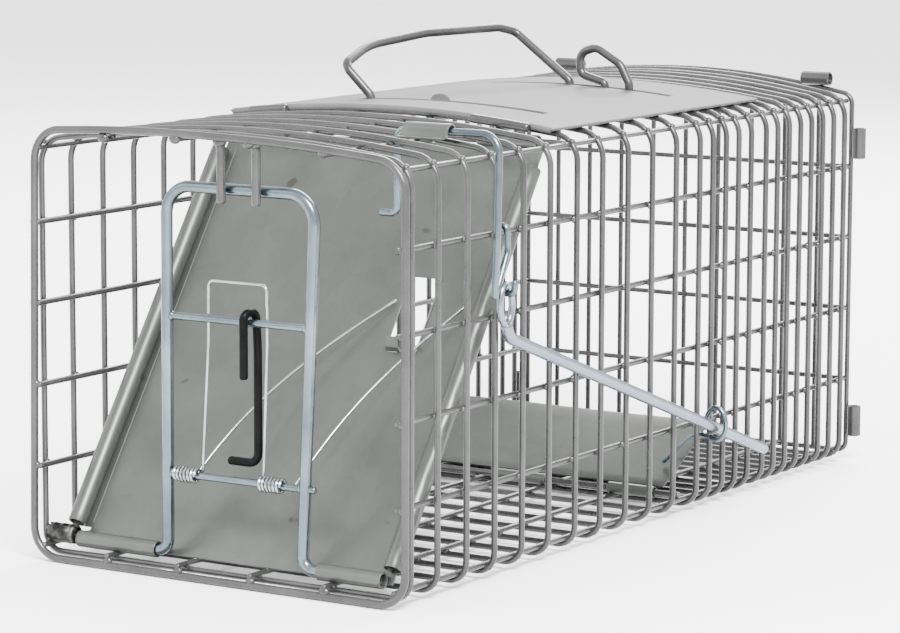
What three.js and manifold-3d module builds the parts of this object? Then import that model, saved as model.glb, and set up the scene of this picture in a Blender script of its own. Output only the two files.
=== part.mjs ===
// Live catch trap, one-door folded-wire box trap with a spring-locked drop door.
// Millimetres, +Z up, +X to the right seen from the mouth, +Y into the depth.
// Origin: middle of the mouth ring's foot print at the resting plane.
import * as THREE from 'three';
import { mergeVertices, mergeGeometries } from 'three/addons/utils/BufferGeometryUtils.js';
import Module from 'manifold-3d';

const wasm = await Module();
wasm.setup();

// ---------------------------------------------------------------- dimensions
const LENGTH = 445;            // over the mouth ring and the rear wires
const HALF_W = 100;            // centre line of the side wall wires
const FLOOR_Z = 4.6;           // centre line of the floor wires
const ROOF_Z = 196;            // centre line of the roof wires at the side
const ROOF_CROWN = 7;          // extra height of the roof at the middle
const WIRE = 2.7;              // mesh wire
const RING_WIRE = 3.6;         // mouth ring rod
const RING_HALF_W = 102.5;
const RING_TOP_Z = 198;
const RING_CORNER_R = 14;
const RING_CROWN = 4;
const Y_RING = 7;               // mouth ring centre plane, before the frame is moved to it
const HOOPS = [14, 35.7, 59.45, 83.2, 106.95, 130.7, 154.45, 178.2, 201.95, 225.7, 249.45, 273.2, 299.8, 326.4, 343, 368.6, 394.2, 419.8, 438.5];
const LEVELS = [8, 44.4, 82.3, 120.2, 157.6, 192];   // heights of the long wires on a side wall
const LONG_X = [-100, -60, -20, 20, 60, 100];
const REAR_X = [-97, -80, -60, -40, -20, 0, 20, 40, 60, 80, 97];

const DOOR_HINGE = [0, 148.1, 192.6];
const DOOR_TILT = 34.9;        // degrees off vertical, door closed
const DOOR_LEN = 225.3;
const FOOT_OFFSET = 5;         // lock bar barrels' centre, in front of the door sheet
const DOOR_HALF_W = 88;
const FERRULE_RELIEF = 8;      // the door's lower left corner passes over the corner ferrule
const SHEET = 1.0;
const BAIL_R = 2.4;
const BAIL_XL = -31, BAIL_XR_BOTTOM = 43, BAIL_XR_TOP = 50;
const BAIL_TOP_Z = 178;
const CROSS_R = 1.7;
const UPPER_BAR_Z = 119, LOWER_BAR_Z = 47;
const CRANK_R = 1.75;
const CRANK_AXIS = [0, 73, 205.7];
const LEVER_R = 2.9;
const LEVER_PIVOT = [109, 79, 127];   // centre of the lever's eye
const TREADLE_HINGE = [0, 261.5, 10];
const TREADLE_TILT = 28;
const TREADLE_LEN = 58;
const PLATE_Y0 = 148, PLATE_Y1 = 352;
const PLATE_HALF_W = 95;
const PLATE_EDGE_Z = 199.0, PLATE_CROWN = 7, PLATE_T = 1.0;
const SLIT_A_Y = 185, SLIT_B_Y = 306, SLIT_X0 = -40, SLIT_X1 = 66, SLIT_W = 6.4;
const HANDLE_R = 2.3;
const LOOP_R = 2.2;

// ---------------------------------------------------------------- helpers
const V = (x, y, z) => new THREE.Vector3(x, y, z);
const D = Math.PI / 180;

class VertexPath extends THREE.Curve {
  constructor(pts) { super(); this.pts = pts; }
  getPoint(t) {
    const n = this.pts.length - 1, f = Math.min(Math.max(t, 0), 1) * n, i = Math.min(Math.floor(f + 1e-9), n - 1);
    return this.pts[i].clone().lerp(this.pts[i + 1], f - i);
  }
  getPointAt(t) { return this.getPoint(t); }
  getSpacedPoints() { return this.pts.map((p) => p.clone()); }
  getTangentAt(u, target = new THREE.Vector3()) {
    const n = this.pts.length - 1, i = Math.round(u * n);
    const a = this.pts[Math.max(i - 1, 0)], b = this.pts[Math.min(i + 1, n)], c = this.pts[i];
    target.set(0, 0, 0);
    if (i > 0) target.add(c.clone().sub(a).normalize());
    if (i < n) target.add(b.clone().sub(c).normalize());
    return target.normalize();
  }
  getTangent(u, target) { return this.getTangentAt(u, target); }
}

// polyline with its inner corners rounded to radius r
function rounded(points, r = 8, n = 4) {
  const P = points.map((p) => V(...p)), out = [P[0]];
  for (let i = 1; i < P.length - 1; i++) {
    const a = P[i - 1].clone().sub(P[i]), b = P[i + 1].clone().sub(P[i]);
    const la = a.length(), lb = b.length(); a.normalize(); b.normalize();
    const ang = Math.acos(Math.max(-1, Math.min(1, a.dot(b))));
    const rr = Array.isArray(r) ? r[i - 1] : r;
    let d = rr / Math.tan(ang / 2); d = Math.min(d, la * 0.48, lb * 0.48);
    if (Math.PI - ang < 0.05) { out.push(P[i]); continue; }
    const s = P[i].clone().addScaledVector(a, d), e = P[i].clone().addScaledVector(b, d);
    for (let k = 0; k <= n; k++) {
      const t = k / n;
      out.push(s.clone().multiplyScalar((1 - t) * (1 - t)).addScaledVector(P[i], 2 * t * (1 - t)).addScaledVector(e, t * t));
    }
  }
  out.push(P[P.length - 1]);
  return out;
}
function polygonShape(r, sides, rot = 0) {
  const s = new THREE.Shape();
  for (let i = 0; i < sides; i++) {
    const a = rot + (i / sides) * Math.PI * 2;
    if (i === 0) s.moveTo(r * Math.cos(a), r * Math.sin(a)); else s.lineTo(r * Math.cos(a), r * Math.sin(a));
  }
  s.closePath();
  return s;
}
function rod(points, r, corner = 8, n = 4, sides = 6) {
  const path = new VertexPath(rounded(points, corner, n));
  return new THREE.ExtrudeGeometry(polygonShape(r, sides), { steps: path.pts.length - 1, extrudePath: path, bevelEnabled: false });
}
function ringRod(pts, r, sides = 6) {   // free run through given points, no rounding
  const path = new VertexPath(pts);
  return new THREE.ExtrudeGeometry(polygonShape(r, sides), { steps: pts.length - 1, extrudePath: path, bevelEnabled: false });
}
// tube along X (hollow) between x0 and x1
function sleeveX(x0, x1, ro, ri, sides = 12) {
  const s = polygonShape(ro, sides);
  s.holes.push(new THREE.Path(polygonShape(ri, sides).getPoints().reverse()));
  const g = new THREE.ExtrudeGeometry(s, { depth: x1 - x0, bevelEnabled: false });
  g.rotateY(Math.PI / 2); g.translate(x0, 0, 0);
  return g;
}
function barX(x0, x1, r, sides = 8) {
  const g = new THREE.CylinderGeometry(r, r, x1 - x0, sides);
  g.rotateZ(Math.PI / 2); g.translate((x0 + x1) / 2, 0, 0);
  return g;
}
const box = (x0, x1, y0, y1, z0, z1) => {
  const g = new THREE.BoxGeometry(x1 - x0, y1 - y0, z1 - z0);
  g.translate((x0 + x1) / 2, (y0 + y1) / 2, (z0 + z1) / 2);
  return g;
};
function solid(geometry) {
  let g = geometry.clone();
  g.deleteAttribute('normal'); g.deleteAttribute('uv');
  g = mergeVertices(g, 1e-4);
  return new wasm.Manifold(new wasm.Mesh({
    numProp: 3,
    vertProperties: new Float32Array(g.attributes.position.array),
    triVerts: new Uint32Array(g.index.array),
  }));
}
function geometryOf(manifold) {
  const m = manifold.getMesh();
  const g = new THREE.BufferGeometry();
  g.setAttribute('position', new THREE.BufferAttribute(new Float32Array(m.vertProperties), 3));
  g.setIndex(new THREE.BufferAttribute(new Uint32Array(m.triVerts), 1));
  g.computeVertexNormals();
  return g;
}
const union = (...gs) => gs.map(solid).reduce((a, b) => a.add(b));
const material = (color, roughness, metalness) => new THREE.MeshStandardMaterial({ color, roughness, metalness });
const M = {
  wire: () => material(0x8b8a88, 0.45, 0.55),
  plate: () => material(0xa9a9a8, 0.45, 0.4),
  galv: () => material(0x8d9089, 0.42, 0.75),
  zinc: () => material(0xa9b7bd, 0.28, 0.9),
  spring: () => material(0xb8bfc0, 0.25, 0.95),
  blueZinc: () => material(0x9aa5b3, 0.3, 0.9),
  vinyl: () => material(0x101010, 0.35, 0.0),
};
const trap = new THREE.Group();
function add(name, geometry, mat, parent = trap) {
  const m = new THREE.Mesh(geometry, mat);
  m.name = name;
  parent.add(m);
  return m;
}

// window boxes of a wire grid: u/v are the wire centre lines, w the wire width.
// fingerU: the long wires run on past the first cross wire to u = fingerU.
function windowBoxes(us, vs, w, t0, t1, fingerU = null) {
  const h = w / 2, list = [];
  for (let i = 0; i < us.length - 1; i++) for (let j = 0; j < vs.length - 1; j++) {
    list.push(box(us[i] + h, us[i + 1] - h, vs[j] + h, vs[j + 1] - h, t0, t1));
  }
  if (fingerU !== null) for (let j = 0; j < vs.length - 1; j++) {
    list.push(box(fingerU - 5, us[0] - h, vs[j] + h, vs[j + 1] - h, t0, t1));
  }
  return solid(mergeGeometries(list));
}
function gridGeometry(us, vs, w, t, fingerU = null) {
  const h = w / 2;
  const plate = solid(box(fingerU === null ? us[0] - h : fingerU, us[us.length - 1] + h, vs[0] - h, vs[vs.length - 1] + h, -t / 2, t / 2));
  return geometryOf(plate.subtract(windowBoxes(us, vs, w, -t, t, fingerU)));
}
const crownAt = (x, half, crown) => crown * (1 - (x / half) * (x / half));

// ---------------------------------------------------------------- wire body
{
  // side walls: u = Y, v = Z, thickness along X
  const sideLevels = LEVELS.slice();
  for (const [name, side] of [['left_wall_mesh', -1], ['right_wall_mesh', 1]]) {
    const g = gridGeometry(HOOPS, sideLevels, WIRE, WIRE, 9.2);
    g.applyMatrix4(new THREE.Matrix4().makeBasis(V(0, 1, 0), V(0, 0, 1), V(1, 0, 0)));
    g.translate(side * HALF_W, 0, 0);
    add(name, g, M.wire());
  }
  // roof, crowned across its width
  const inner = LONG_X.map((x) => Math.max(-97, Math.min(97, x)));
  {
    const half = 98.35, n = 10, top = [], bot = [];
    for (let i = 0; i <= n; i++) {
      const x = -half + (2 * half * i) / n, z = ROOF_Z + crownAt(x, HALF_W, ROOF_CROWN);
      bot.push(new THREE.Vector2(x, z - WIRE / 2)); top.push(new THREE.Vector2(x, z + WIRE / 2));
    }
    const g = new THREE.ExtrudeGeometry(new THREE.Shape([...bot, ...top.reverse()]), { depth: HOOPS[HOOPS.length - 1] + WIRE / 2 - 9.2, bevelEnabled: false });
    g.applyMatrix4(new THREE.Matrix4().makeBasis(V(1, 0, 0), V(0, 0, 1), V(0, -1, 0)));
    g.translate(0, HOOPS[HOOPS.length - 1] + WIRE / 2, 0);
    // windows: u = Y, v = X
    const cut = windowBoxes(HOOPS, inner, WIRE, -220, -180, 9.2);
    const cg = geometryOf(cut);
    cg.applyMatrix4(new THREE.Matrix4().makeBasis(V(0, 1, 0), V(1, 0, 0), V(0, 0, -1)));
    add('roof_mesh', geometryOf(solid(g).subtract(solid(cg))), M.wire());
  }
  const floor = gridGeometry(HOOPS, inner, WIRE, WIRE, 9.2);
  floor.applyMatrix4(new THREE.Matrix4().makeBasis(V(0, 1, 0), V(1, 0, 0), V(0, 0, -1)));
  floor.translate(0, 0, FLOOR_Z);
  add('floor_mesh', floor, M.wire());
  // rear wall: u = X, v = Z, thickness along Y
  const rear = gridGeometry(REAR_X, LEVELS, WIRE, WIRE, null);
  rear.applyMatrix4(new THREE.Matrix4().makeBasis(V(1, 0, 0), V(0, 0, 1), V(0, -1, 0)));
  rear.translate(0, LENGTH - WIRE / 2, 0);
  add('rear_wall_mesh', rear, M.wire());
}
function ringShapePoints(hw, z0, z1, r, crown, n = 4) {
  const pts = [];
  const arc = (cx, cz, a0) => { for (let i = 0; i <= n; i++) { const a = a0 + (i / n) * Math.PI / 2; pts.push([cx + r * Math.cos(a), cz + r * Math.sin(a)]); } };
  arc(-hw + r, z0 + r, Math.PI);
  arc(hw - r, z0 + r, 1.5 * Math.PI);
  arc(hw - r, z1 - r, 0);
  for (let i = 1; i < 6; i++) { const x = (hw - r) * (1 - i / 3); pts.push([x, z1 + crownAt(x, hw - r, crown)]); }
  arc(-hw + r, z1 - r, Math.PI / 2);
  return pts.map(([x, z]) => new THREE.Vector2(x, z));
}
{
  const h = RING_WIRE / 2, zc = h;
  const s = new THREE.Shape(ringShapePoints(RING_HALF_W + h, zc - h, RING_TOP_Z + h, RING_CORNER_R + h, RING_CROWN));
  s.holes.push(new THREE.Path(ringShapePoints(RING_HALF_W - h, zc + h, RING_TOP_Z - h, RING_CORNER_R - h, RING_CROWN).reverse()));
  const g = new THREE.ExtrudeGeometry(s, { depth: RING_WIRE, bevelEnabled: false });
  g.applyMatrix4(new THREE.Matrix4().makeBasis(V(1, 0, 0), V(0, 0, 1), V(0, -1, 0)));
  g.translate(0, Y_RING + RING_WIRE / 2, 0);
  add('front_ring', g, M.wire());
}
// two catch prongs hanging behind the top of the mouth ring
for (const [name, x] of [['catch_prong_left', 3], ['catch_prong_right', 22]]) {
  add(name, rod([[x, Y_RING + 3.85, 198.7], [x, Y_RING + 3.85, 172]], 1.7, 2, 2, 6), M.wire());
}
// rolled ferrules that clamp the rear panel
{
  const ferrule = (name, p, axis) => {
    const s = polygonShape(3.6, 8, Math.PI / 8);
    const g = new THREE.ExtrudeGeometry(s, { depth: 16, bevelEnabled: false });
    g.translate(0, 0, -8);
    if (axis === 'x') g.rotateY(Math.PI / 2);
    g.translate(...p);
    add(name, g, M.wire());
  };
  ferrule('rear_clip_top_right', [72, LENGTH - 3.6, 204.6], 'x');
  ferrule('rear_clip_top_left', [-72, LENGTH - 3.6, 204.6], 'x');
  ferrule('rear_clip_right_upper', [105.4, LENGTH - 3.6, 170], 'z');
  ferrule('rear_clip_right_lower', [105.4, LENGTH - 3.6, 22], 'z');
  ferrule('rear_clip_left_upper', [-105.4, LENGTH - 3.6, 170], 'z');
  ferrule('rear_clip_left_lower', [-105.4, LENGTH - 3.6, 22], 'z');
}
add('rear_foot_hem', box(-70, 70, 440, 443.6, 0, 2.9), M.wire());
// ferrule around the lower left corner wire of the mouth
{
  const g = sleeveX(-98.2, -82.6, 4.6, 3.0, 10);
  g.translate(0, 13.7, 12.6);
  add('corner_ferrule', g, M.galv());
}

// ---------------------------------------------------------------- guard plate on the roof
{
  const n = 12, top = [], bot = [];
  for (let i = 0; i <= n; i++) {
    const x = -PLATE_HALF_W + (2 * PLATE_HALF_W * i) / n;
    const z = PLATE_EDGE_Z + crownAt(x, PLATE_HALF_W, PLATE_CROWN);
    top.push(new THREE.Vector2(x, z + PLATE_T)); bot.push(new THREE.Vector2(x, z));
  }
  const s = new THREE.Shape([...bot, ...top.reverse()]);
  const g = new THREE.ExtrudeGeometry(s, { depth: PLATE_Y1 - PLATE_Y0, bevelEnabled: false });
  g.applyMatrix4(new THREE.Matrix4().makeBasis(V(1, 0, 0), V(0, 0, 1), V(0, -1, 0)));
  g.translate(0, PLATE_Y1, 0);
  let m = solid(g);
  m = m.subtract(solid(box(SLIT_X0, SLIT_X1, SLIT_A_Y - SLIT_W / 2, SLIT_A_Y + SLIT_W / 2, 190, 215)));
  m = m.subtract(solid(box(SLIT_X0, SLIT_X1, SLIT_B_Y - SLIT_W / 2, SLIT_B_Y + SLIT_W / 2, 190, 215)));
  add('guard_plate', geometryOf(m), M.plate());
}

// ---------------------------------------------------------------- door
const doorGroup = new THREE.Group();
doorGroup.position.set(...DOOR_HINGE);
doorGroup.rotation.x = -DOOR_TILT * D;
trap.add(doorGroup);
{
  const L = DOOR_LEN;
  let m = solid(box(-DOOR_HALF_W, DOOR_HALF_W, -SHEET / 2, SHEET / 2, -L, -3.2));
  // rolled side tubes, open at the bottom
  m = m.subtract(solid(box(-95, -82, -10, 3, -L - 1, -L + FERRULE_RELIEF)));
  for (const sx of [-1, 1]) {
    const s = polygonShape(4.4, 12, Math.PI / 12);
    const g = new THREE.ExtrudeGeometry(s, { depth: L - 16 - FERRULE_RELIEF, bevelEnabled: false });
    g.translate(sx * DOOR_HALF_W, -3.9, -L + FERRULE_RELIEF);
    m = m.add(solid(g));
    const b = new THREE.ExtrudeGeometry(polygonShape(3.3, 10), { depth: 30, bevelEnabled: false });
    b.translate(sx * DOOR_HALF_W, -3.9, -L + 5);
    m = m.subtract(solid(b));
  }
  // hinge barrels rolled round the hinge rod
  for (const [a, b] of [[-84, -50], [-20, 24], [52, 84]]) {
    const g = barX(a, b, 3.6, 12); m = m.add(solid(g));
  }
  m = m.subtract(solid(barX(-95, 95, 2.35, 12)));
  // barrels for the lock bar feet
  for (const [a, b] of [[-82, -37], [52, 86]]) {
    const g = barX(a, b, 3.9, 12); g.translate(0, -FOOT_OFFSET, -L); m = m.add(solid(g));
    m = m.add(solid(box(a, b, -FOOT_OFFSET, SHEET / 2, -L, -L + 3.9)));
  }
  const bore = barX(-90, 90, 2.85, 12); bore.translate(0, -FOOT_OFFSET, -L); m = m.subtract(solid(bore));
  // catch window
  m = m.subtract(solid(box(42, 68, -3, 3, -113.1, -68.1)));
  add('door', geometryOf(m), M.galv(), doorGroup);
}
add('door_hinge_rod', (() => { const g = barX(-98.2, 98.2, 1.9, 8); g.translate(...DOOR_HINGE); return g; })(), M.wire());

// lock bar pivot in trap coordinates
const ct = Math.cos(DOOR_TILT * D), st = Math.sin(DOOR_TILT * D);
const pivot = [0, DOOR_HINGE[1] - FOOT_OFFSET * ct - DOOR_LEN * st, DOOR_HINGE[2] + FOOT_OFFSET * st - DOOR_LEN * ct];
const PY = pivot[1], PZ = pivot[2];
const TOPY = 15.6;
const yAt = (z) => PY + (TOPY - PY) * (z - PZ) / (BAIL_TOP_Z - PZ);
{
  const g = rod([[-80, PY, PZ], [BAIL_XL, PY, PZ], [BAIL_XL, yAt(BAIL_TOP_Z), BAIL_TOP_Z], [BAIL_XR_TOP, yAt(BAIL_TOP_Z), BAIL_TOP_Z], [BAIL_XR_BOTTOM, PY, PZ], [84, PY, PZ]], BAIL_R, [5, 13, 13, 5], 4, 8);
  add('lock_bar', g, M.zinc());
  const legX = (z) => BAIL_XR_BOTTOM + (BAIL_XR_TOP - BAIL_XR_BOTTOM) * (z - PZ) / (BAIL_TOP_Z - PZ);
  const b1 = barX(BAIL_XL + BAIL_R + 0.3, legX(UPPER_BAR_Z) - BAIL_R - 0.35, CROSS_R, 8); b1.translate(0, yAt(UPPER_BAR_Z), UPPER_BAR_Z);
  add('upper_cross_bar', b1, M.zinc());
  const b2 = barX(BAIL_XL + BAIL_R + 0.3, legX(LOWER_BAR_Z) - BAIL_R - 0.35, CROSS_R, 8); b2.translate(0, yAt(LOWER_BAR_Z), LOWER_BAR_Z);
  add('lower_cross_bar', b2, M.zinc());
  // torsion spring: two coils on the lower bar, a centre loop and two end arms
  const ly = yAt(LOWER_BAR_Z);
  for (const [name, a, b] of [['spring_coil_left', -27, -14], ['spring_coil_right', 20, 33]]) {
    const c = sleeveX(a, b, 3.7, 2.05, 12); c.translate(0, ly, LOWER_BAR_Z);
    add(name, c, M.spring());
  }
  const uy = yAt(UPPER_BAR_Z) + CROSS_R + 1.0;
  add('spring_center_loop', rod([[-13.2, ly + 3.2, LOWER_BAR_Z], [-10, uy, UPPER_BAR_Z - 10], [-10, uy, UPPER_BAR_Z + 17], [22, uy, UPPER_BAR_Z + 17], [22, uy, UPPER_BAR_Z - 10], [19.2, ly + 3.2, LOWER_BAR_Z]], 0.7, [3, 3, 3, 3], 2, 5), M.spring());
  // end arms, resting just clear of the door face
  const arm = (x0, x1) => {
    const y0 = ly + 3.5, z0 = LOWER_BAR_Z - 3.1;
    const zE = 122, yDoor = DOOR_HINGE[1] - (DOOR_HINGE[2] - zE) * st / ct - 3.4;
    return rod([[x0, y0, z0], [x0 + (x1 - x0) * 0.25, y0 + (yDoor - y0) * 0.3, z0 + (zE - z0) * 0.3], [x1, yDoor, zE]], 0.7, 40, 3, 5);
  };
  add('spring_arm_left', arm(-20, 40), M.spring());
  add('spring_arm_right', arm(34, 80), M.spring());
  // release hook on the upper bar
  const hy = yAt(UPPER_BAR_Z);
  add('release_hook', rod([[14, hy - 4.1, UPPER_BAR_Z - 25], [14, hy - 4.1, UPPER_BAR_Z + 4.6], [15, hy + 4.1, UPPER_BAR_Z + 4.6], [16, hy + 4.0, UPPER_BAR_Z - 14], [16, hy + 4.1, LOWER_BAR_Z + 8], [0, hy + 4.2, LOWER_BAR_Z + 8]], 1.9, [2.0, 2.0, 2.5, 3.5], 3, 8), M.vinyl());
}

// ---------------------------------------------------------------- trigger crank and its bracket
{
  const [, cy, cz] = CRANK_AXIS;
  const b = sleeveX(60, 84, 3.4, 2.15, 12);
  let m = solid(b).add(solid(box(60, 84, -8, 0, -3.4, -2.35)));
  const g = geometryOf(m);
  g.translate(0, cy, cz);
  add('crank_bracket', g, M.galv());
  add('trigger_crank', rod([[45, cy, cz - 39.5], [55.2, cy, cz - 39.5], [55.2, cy, cz], [109, cy, cz], [109, cy - 3.5, cz - 74.7]], CRANK_R, [3, 4, 7], 4, 6), M.zinc());
}
// ---------------------------------------------------------------- hanger link, trip lever
{
  const [lx, ly, lz] = LEVER_PIVOT;
  const L4 = LEVELS[4];
  // link hooked over the wall wire, lower end turned through the lever eye
  add('hanger_link', rod([[96.9, ly + 9, L4 - 2.5], [96.9, ly + 9, L4 + 3.6], [103.9, ly + 9, L4 + 3.6], [103.9, ly + 9.5, L4 - 8], [104.2, ly, lz + 5.2], [113.6, ly, lz + 5.2], [113.6, ly, lz + 11]], 1.5, [2, 2, 3, 3, 2], 2, 6), M.zinc());
  // lever: upright eye at the front end, one bend, long straight rod
  const eye = new THREE.Shape();
  eye.absellipse(0, 0, 6.6, 10.5, 0, Math.PI * 2, false, 0);
  const hole = new THREE.Path(); hole.absellipse(0, 0, 3.6, 7.3, 0, Math.PI * 2, true, 0);
  const es = new THREE.Shape(eye.getPoints(5)); es.holes.push(new THREE.Path(hole.getPoints(5)));
  const eg = new THREE.ExtrudeGeometry(es, { depth: 3.4, bevelEnabled: false });
  eg.applyMatrix4(new THREE.Matrix4().makeBasis(V(0, 1, 0), V(0, 0, 1), V(1, 0, 0)));
  eg.translate(lx - 1.7, ly, lz);
  const r = rod([[lx, ly, lz - 9.3], [lx, ly + 2.5, lz - 15], [lx, ly + 251, lz - 103]], LEVER_R, 6, 3, 8);
  add('trip_lever', geometryOf(union(eg, r)), M.blueZinc());
}
// ---------------------------------------------------------------- treadle
const treadleGroup = new THREE.Group();
treadleGroup.position.set(...TREADLE_HINGE);
treadleGroup.rotation.x = TREADLE_TILT * D;
trap.add(treadleGroup);
{
  let m = solid(box(-90, 88, 2.0, TREADLE_LEN, 1.4, 2.4));
  for (const [a, b] of [[-86, -60], [-8, 22], [58, 84]]) {
    m = m.add(solid(barX(a, b, 3.0, 12)));
  }
  m = m.subtract(solid(barX(-95, 95, 1.95, 12)));
  add('treadle', geometryOf(m), M.galv(), treadleGroup);
}
add('treadle_hinge_rod', (() => { const g = barX(-98.2, 98.2, 1.6, 8); g.translate(...TREADLE_HINGE); return g; })(), M.wire());
{
  // wire ring carried by the treadle, standing out through the right wall round the lever
  const lx = LEVER_PIVOT[0], y = 278, z = 44.4;
  const pts = [V(80, 277, 22.7), V(89, 277.4, 31), V(98, 277.8, 37.8)];
  const n = 13;
  for (let i = 0; i <= n; i++) {
    const a = (235 + (i / n) * 325) * D;
    pts.push(V(lx + 5.6 * Math.cos(a), y, z + 8.0 * Math.sin(a)));
  }
  add('treadle_ring', ringRod(pts, 1.2, 6), M.zinc());
}

// ---------------------------------------------------------------- carry handle and finger loop
{
  add('carry_handle', rod([[-33, SLIT_A_Y, 203.6], [-34, SLIT_A_Y, 207], [-47, 182, 221], [-49, 206, 230], [-41, 246, 235], [-29, 296, 236], [-25, SLIT_B_Y - 0.5, 233], [7, SLIT_B_Y, 208], [8, SLIT_B_Y, 203.6]], HANDLE_R, [3, 6, 30, 40, 20, 6, 3], 3, 8), M.wire());
  add('finger_loop', rod([[28, SLIT_B_Y, 203.4], [28, SLIT_B_Y, 207.5], [14, SLIT_B_Y, 211], [13, SLIT_B_Y, 222], [23, SLIT_B_Y, 225], [37, SLIT_B_Y, 217], [42, SLIT_B_Y, 207.5], [42, SLIT_B_Y, 203.4]], LOOP_R, [2.5, 4, 5, 6, 6, 3], 3, 8), M.wire());
}

trap.position.y = -Y_RING;        // origin under the middle of the mouth ring

export default trap;
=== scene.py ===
import bpy, math, random
from mathutils import Vector, Matrix


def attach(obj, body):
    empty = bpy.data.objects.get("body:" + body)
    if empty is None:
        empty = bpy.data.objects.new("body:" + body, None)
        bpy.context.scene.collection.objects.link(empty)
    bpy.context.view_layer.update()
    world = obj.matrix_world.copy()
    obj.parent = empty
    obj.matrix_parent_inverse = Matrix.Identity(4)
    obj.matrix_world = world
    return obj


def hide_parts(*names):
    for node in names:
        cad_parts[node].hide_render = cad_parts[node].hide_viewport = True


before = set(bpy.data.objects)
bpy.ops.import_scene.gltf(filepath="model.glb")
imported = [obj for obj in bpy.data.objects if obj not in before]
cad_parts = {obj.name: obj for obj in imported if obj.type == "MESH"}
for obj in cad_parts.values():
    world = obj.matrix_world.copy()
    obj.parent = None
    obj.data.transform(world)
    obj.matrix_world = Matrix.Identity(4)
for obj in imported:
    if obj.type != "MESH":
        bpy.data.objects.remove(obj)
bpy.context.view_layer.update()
rnd = random.Random(7)
D = math.pi / 180
MM = 0.001
YS = -7.0                      # the trap's working coordinates, moved to the mouth ring

# ------------------------------------------------------------------ camera
CAM_LOC = Vector((951.28621734, -1304.61856033, 354.45604981)) * MM
CAM_R = Vector((0.84460557, 0.53537991, 0.00312807))
CAM_F = Vector((-0.52952334, 0.83620033, -0.14273764))
CAM_U = Vector((-0.07903456, 0.11890062, 0.98975562))
cam_data = bpy.data.cameras.new("camera")
cam_data.sensor_fit = 'HORIZONTAL'
cam_data.sensor_width = 36.0
cam_data.lens = 3664.1211 / 900.0 * 36.0
cam_data.clip_start = 0.05
cam_data.clip_end = 50
cam = bpy.data.objects.new("camera", cam_data)
bpy.context.scene.collection.objects.link(cam)
m = Matrix.Identity(4)
for i in range(3):
    m[i][0] = CAM_R[i]; m[i][1] = CAM_U[i]; m[i][2] = -CAM_F[i]; m[i][3] = CAM_LOC[i]
cam.matrix_world = m
bpy.context.scene.camera = cam

# ------------------------------------------------------------------ materials
def new_mat(name):
    mt = bpy.data.materials.new(name)
    mt.use_nodes = True
    nt = mt.node_tree
    b = nt.nodes["Principled BSDF"]
    return mt, nt, b

def coords(nt, scale=(1, 1, 1)):
    tc = nt.nodes.new("ShaderNodeTexCoord")
    mp = nt.nodes.new("ShaderNodeMapping")
    mp.inputs["Scale"].default_value = scale
    nt.links.new(tc.outputs["Object"], mp.inputs["Vector"])
    return mp.outputs["Vector"]

def noise(nt, vec, scale, detail=4.0, rough=0.55):
    n = nt.nodes.new("ShaderNodeTexNoise")
    n.inputs["Scale"].default_value = scale
    n.inputs["Detail"].default_value = detail
    n.inputs["Roughness"].default_value = rough
    nt.links.new(vec, n.inputs["Vector"])
    return n.outputs["Fac"]

def ramp(nt, fac, stops):
    r = nt.nodes.new("ShaderNodeValToRGB")
    el = r.color_ramp.elements
    while len(el) < len(stops):
        el.new(0.5)
    for e, (p, c) in zip(el, stops):
        e.position = p
        e.color = c if len(c) == 4 else (*c, 1)
    nt.links.new(fac, r.inputs["Fac"])
    return r.outputs["Color"]

def mix(nt, a, b, fac, mode='MIX'):
    x = nt.nodes.new("ShaderNodeMix")
    x.data_type = 'RGBA'
    x.blend_type = mode
    for sock, val in ((x.inputs["Factor"], fac), (x.inputs["A"], a), (x.inputs["B"], b)):
        pass
    def put(sock, val):
        if hasattr(val, "links") or hasattr(val, "is_linked"):
            nt.links.new(val, sock)
        else:
            sock.default_value = val
    put(x.inputs[0], fac); put(x.inputs[6], a); put(x.inputs[7], b)
    return x.outputs[2]

def rough_range(nt, fac, lo, hi, bsdf):
    r = nt.nodes.new("ShaderNodeMapRange")
    r.inputs["To Min"].default_value = lo
    r.inputs["To Max"].default_value = hi
    nt.links.new(fac, r.inputs["Value"])
    nt.links.new(r.outputs["Result"], bsdf.inputs["Roughness"])

def bump(nt, height, strength, dist, bsdf):
    b = nt.nodes.new("ShaderNodeBump")
    b.inputs["Strength"].default_value = strength
    b.inputs["Distance"].default_value = dist
    nt.links.new(height, b.inputs["Height"])
    nt.links.new(b.outputs["Normal"], bsdf.inputs["Normal"])

def mat_paint(name, c_dark, c_mid, c_light, metallic, rlo, rhi, grain=900, bstr=0.18):
    mt, nt, b = new_mat(name)
    v = coords(nt)
    big = noise(nt, v, 38, 3)
    fine = noise(nt, v, grain, 4, 0.65)
    col = ramp(nt, big, [(0.30, c_dark), (0.5, c_mid), (0.72, c_light)])
    spk = ramp(nt, fine, [(0.36, (0.80, 0.80, 0.80)), (0.55, (1, 1, 1)), (0.75, (1.0, 1.0, 1.0))])
    col = mix(nt, col, spk, 0.55, 'MULTIPLY')
    nt.links.new(col, b.inputs["Base Color"])
    b.inputs["Metallic"].default_value = metallic
    rough_range(nt, big, rlo, rhi, b)
    bump(nt, fine, bstr, 0.00025, b)
    return mt

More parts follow.
